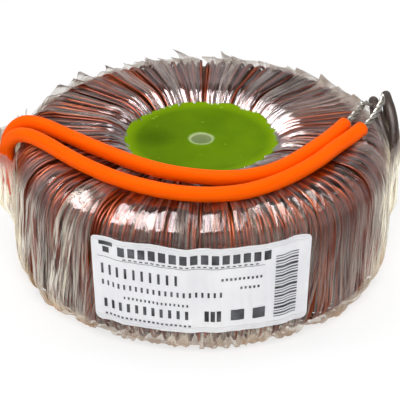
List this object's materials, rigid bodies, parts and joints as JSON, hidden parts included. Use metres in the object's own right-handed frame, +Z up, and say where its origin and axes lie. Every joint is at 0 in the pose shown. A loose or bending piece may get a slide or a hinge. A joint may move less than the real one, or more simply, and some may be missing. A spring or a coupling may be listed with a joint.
{
  "type": "toroidal transformer",
  "caption": "Toroidal mains transformer, film-wrapped copper winding, resin-potted centre with a mounting hole, sleeved secondary leads over the crown and black primary leads behind.",
  "frame": {"origin": "on the axis of the central mounting hole, in the plane of the flat base", "axes": "+Z up along the mounting hole; the label faces -Y, the secondary leads leave the winding at -X and the primary leads at +X"},
  "size_m": [0.1198, 0.1203, 0.0495],
  "materials": {
    "core_steel": "wound silicon steel strip, dull",
    "end_ring_board": "insulating board, matt",
    "insulating_tape": "polyester tape, glossy",
    "enamelled_copper_fine": "fine enamelled copper wire, glossy",
    "enamelled_copper": "enamelled copper wire, red-brown, glossy",
    "clear_film": "clear polyester film in pleated laps, very glossy",
    "green_resin": "potting resin, green, slightly glossy",
    "label_paper": "coated white label paper, satin",
    "orange_sleeving": "orange insulating sleeving, satin",
    "tinned_copper": "bare tinned conductor, bright",
    "black_lead_cover": "black lead insulation, satin"
  },
  "bodies": {
    "root": {"core": "core_steel", "core_end_ring_top": "end_ring_board", "core_end_ring_bottom": "end_ring_board", "core_wrap": "insulating_tape", "primary_winding": "enamelled_copper_fine", "winding_barrier": "insulating_tape", "secondary_strand_1": "enamelled_copper", "secondary_strand_2": "enamelled_copper", "secondary_strand_3": "enamelled_copper", "film_wrap": "clear_film", "film_laps": "clear_film", "potting": "green_resin", "label": "label_paper", "secondary_tie": "clear_film", "primary_tie": "clear_film", "sleeve_upper": "orange_sleeving", "sleeve_lower": "orange_sleeving", "tail_upper": "tinned_copper", "tail_lower": "tinned_copper", "primary_lead_1": "black_lead_cover", "primary_lead_2": "black_lead_cover", "primary_tip_1": "tinned_copper", "primary_tip_2": "tinned_copper"}
  },
  "joints": []
}
